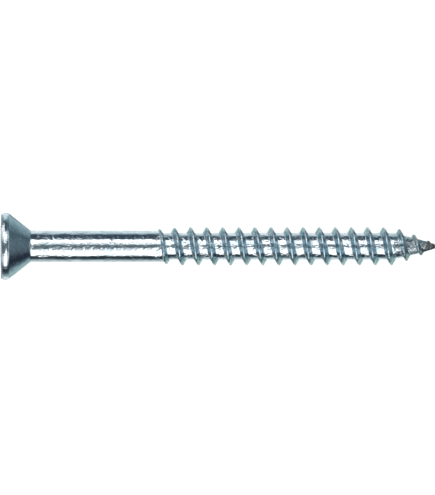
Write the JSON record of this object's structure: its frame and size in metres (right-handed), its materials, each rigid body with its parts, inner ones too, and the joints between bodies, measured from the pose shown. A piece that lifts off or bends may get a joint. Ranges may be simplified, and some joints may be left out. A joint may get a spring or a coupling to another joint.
{
  "type": "wood_screw",
  "caption": "Countersunk wood screw in bright zinc-plated steel, with a plain shank, a coarse right-hand thread, a gimlet point and a cross recess",
  "frame": {"origin": "centre of the head's flat top face, on the screw's axis", "axes": "+X along the screw's axis from the head to the tip, which is its longest extent; -X is the outward normal of the head's top face; Y and Z are across the screw, along the wings of the recess; the thread's first crest is on the +Y side"},
  "size_m": [0.0627, 0.0096, 0.0096],
  "materials": {
    "zinc_head": "bright blue-white zinc plate, smooth",
    "zinc_shank": "bright blue-white zinc plate, faintly drawn along its length",
    "zinc_thread": "bright blue-white zinc plate over rolled steel",
    "zinc_point": "duller, rougher zinc plate over the pinched point"
  },
  "bodies": {
    "root": {"head": "zinc_head", "shank": "zinc_shank", "core": "zinc_thread", "thread_start": "zinc_thread", "thread": "zinc_thread", "point": "zinc_point", "point_thread": "zinc_point"}
  },
  "joints": []
}
